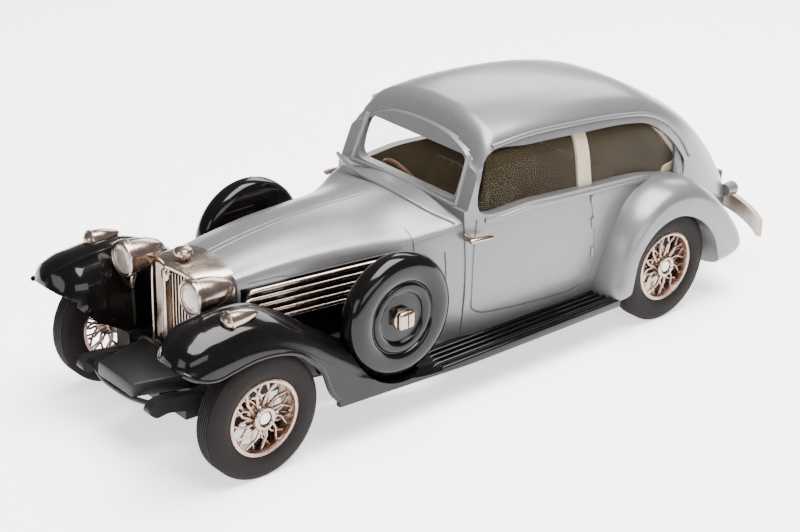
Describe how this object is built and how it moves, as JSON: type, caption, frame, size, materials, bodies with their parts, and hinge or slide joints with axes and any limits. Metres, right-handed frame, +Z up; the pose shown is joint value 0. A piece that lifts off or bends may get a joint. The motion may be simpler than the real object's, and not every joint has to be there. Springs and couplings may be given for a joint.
{
  "type": "collector model car",
  "caption": "Small-scale collector's model of a 1930s two-door fastback saloon, with side-mounted spare wheels and free-rolling wire wheels.",
  "frame": {"origin": "on the ground, under the middle of the model's bounding box", "axes": "+X towards the radiator, +Y to the car's left, +Z up"},
  "size_m": [0.1098, 0.0372, 0.0353],
  "materials": {
    "silver_paint": "satin metallic silver paint",
    "black_paint": "gloss black paint",
    "nickel_plate": "slightly tarnished warm nickel plating",
    "lamp_lens": "flat plated lamp face",
    "glazing": "clear vacuum-formed sheet, yellowed",
    "cream_paint": "satin cream paint",
    "seat_brown": "matt dark brown",
    "wheel_brown": "red-brown paint",
    "steel": "bare steel",
    "tyre_rubber": "matt black rubber with fine tread",
    "wire_wheel": "warm nickel plating"
  },
  "bodies": {
    "model": {"base_plate": "black_paint", "base_screws": "steel", "body_shell": "silver_paint", "bonnet_louvres_left": "nickel_plate", "bonnet_louvres_right": "nickel_plate", "cabin_floor": "seat_brown", "dashboard": "seat_brown", "door_handle_left": "nickel_plate", "door_handle_right": "nickel_plate", "front_apron": "black_paint", "front_seat_left": "seat_brown", "front_seat_right": "seat_brown", "front_wing_left": "black_paint", "front_wing_right": "black_paint", "headlamp_left": "nickel_plate", "headlamp_lens_left": "lamp_lens", "headlamp_lens_right": "lamp_lens", "headlamp_right": "nickel_plate", "headlamp_stay_left": "nickel_plate", "headlamp_stay_right": "nickel_plate", "quarter_trim_left": "cream_paint", "quarter_trim_right": "cream_paint", "radiator_cap": "nickel_plate", "radiator_grille": "nickel_plate", "radiator_shell": "nickel_plate", "rear_bumper": "nickel_plate", "rear_glazing": "glazing", "rear_plate": "black_paint", "rear_seat": "seat_brown", "side_glazing_left": "glazing", "side_glazing_right": "glazing", "sidelamp_left": "nickel_plate", "sidelamp_right": "nickel_plate", "spare_nut_left": "nickel_plate", "spare_nut_right": "nickel_plate", "spare_wheel_left": "black_paint", "spare_wheel_right": "black_paint", "steering_column": "steel", "steering_wheel": "wheel_brown", "tail_lamp_left": "silver_paint", "tail_lamp_right": "silver_paint", "window_pillar_left": "cream_paint", "window_pillar_right": "cream_paint", "windscreen": "glazing"},
    "front_wheels": {"front_axle": "steel", "hub_cap_front_left": "wire_wheel", "hub_cap_front_right": "wire_wheel", "tyre_front_left": "tyre_rubber", "tyre_front_right": "tyre_rubber", "wheel_front_left": "wire_wheel", "wheel_front_right": "wire_wheel"},
    "rear_wheels": {"rear_axle": "steel", "hub_cap_rear_left": "wire_wheel", "hub_cap_rear_right": "wire_wheel", "tyre_rear_left": "tyre_rubber", "tyre_rear_right": "tyre_rubber", "wheel_rear_left": "wire_wheel", "wheel_rear_right": "wire_wheel"}
  },
  "joints": [
    {"name": "front_axle_spin", "type": "hinge", "parent": "model", "child": "front_wheels", "pos_m": [0.0435, 0, 0.0082], "axis": [0, 1, 0], "continuous": true},
    {"name": "rear_axle_spin", "type": "hinge", "parent": "model", "child": "rear_wheels", "pos_m": [-0.0269, 0, 0.0082], "axis": [0, 1, 0], "continuous": true}
  ]
}
